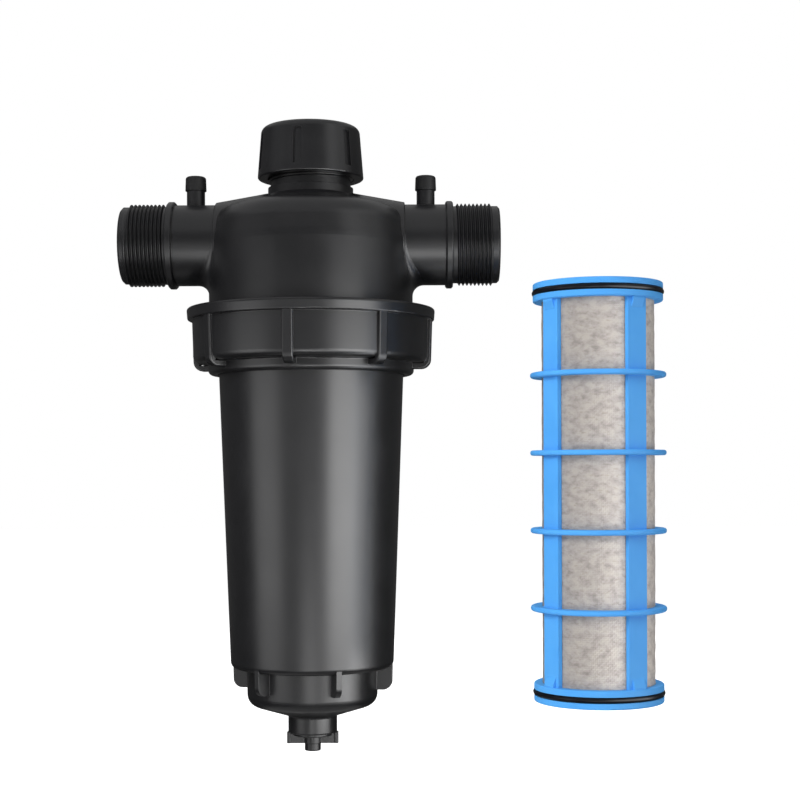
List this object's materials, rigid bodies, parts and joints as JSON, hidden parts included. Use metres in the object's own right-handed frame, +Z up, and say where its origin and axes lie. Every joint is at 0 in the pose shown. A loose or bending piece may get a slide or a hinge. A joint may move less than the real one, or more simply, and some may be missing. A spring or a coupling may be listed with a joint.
{
  "type": "screen filter",
  "caption": "Tee-shaped inline water screen filter with threaded ports, ribbed collar, tapered bowl, screw cap, drain plug and its blue screen cartridge set beside it.",
  "frame": {"origin": "where the axis of the two ports crosses the upright axis of the housing", "axes": "+X along the ports towards the outlet, +Z up towards the cap, front faces -Y"},
  "size_m": [0.3033, 0.1904, 0.3644],
  "materials": {
    "black_plastic": "satin moulded",
    "soft_black": "soft moulded",
    "seal_rubber": "smooth rubber",
    "blue_plastic": "moulded",
    "steel_mesh": "woven wire"
  },
  "bodies": {
    "housing": {"head": "black_plastic", "thread_skirt": "black_plastic", "cartridge_socket": "black_plastic", "screen_frame": "blue_plastic", "screen_mesh": "steel_mesh", "upper_o_ring": "seal_rubber", "lower_o_ring": "seal_rubber"},
    "bowl_set": {"bowl": "black_plastic", "body_o_ring": "seal_rubber"},
    "collar": {"collar_nut": "black_plastic"},
    "cap_gasket": {"cap_seal": "seal_rubber"},
    "cap": {"top_cap": "black_plastic"},
    "drain_gasket": {"drain_seal": "seal_rubber"},
    "drain": {"drain_plug": "black_plastic"},
    "inlet_cap": {"inlet_test_cap": "soft_black"},
    "outlet_cap": {"outlet_test_cap": "soft_black"}
  },
  "joints": [
    {"name": "bowl_drop", "type": "slide", "parent": "housing", "child": "bowl_set", "axis": [0, 0, -1], "range_m": [0, 0.018]},
    {"name": "collar_turn", "type": "hinge", "parent": "bowl_set", "child": "collar", "pos_m": [0, 0, 0], "axis": [0, 0, -1], "range_deg": [0, 1080.1]},
    {"name": "cap_lift", "type": "slide", "parent": "housing", "child": "cap_gasket", "axis": [0, 0, 1], "range_m": [0, 0.016]},
    {"name": "cap_turn", "type": "hinge", "parent": "cap_gasket", "child": "cap", "pos_m": [0, 0, 0], "axis": [0, 0, 1], "range_deg": [0, 1440.1]},
    {"name": "drain_drop", "type": "slide", "parent": "bowl_set", "child": "drain_gasket", "axis": [0, 0, -1], "range_m": [0, 0.006]},
    {"name": "drain_turn", "type": "hinge", "parent": "drain_gasket", "child": "drain", "pos_m": [0, 0, 0], "axis": [0, 0, -1], "range_deg": [0, 1080.1]},
    {"name": "inlet_cap_pull", "type": "slide", "parent": "housing", "child": "inlet_cap", "axis": [0, 0, 1], "range_m": [0, 0.008]},
    {"name": "outlet_cap_pull", "type": "slide", "parent": "housing", "child": "outlet_cap", "axis": [0, 0, 1], "range_m": [0, 0.008]}
  ],
  "couplings": [
    {"joint": "collar_turn", "follows": "bowl_drop", "rad_per_m": 1047.2},
    {"joint": "cap_turn", "follows": "cap_lift", "rad_per_m": 1570.8},
    {"joint": "drain_turn", "follows": "drain_drop", "rad_per_m": 3141.6}
  ]
}
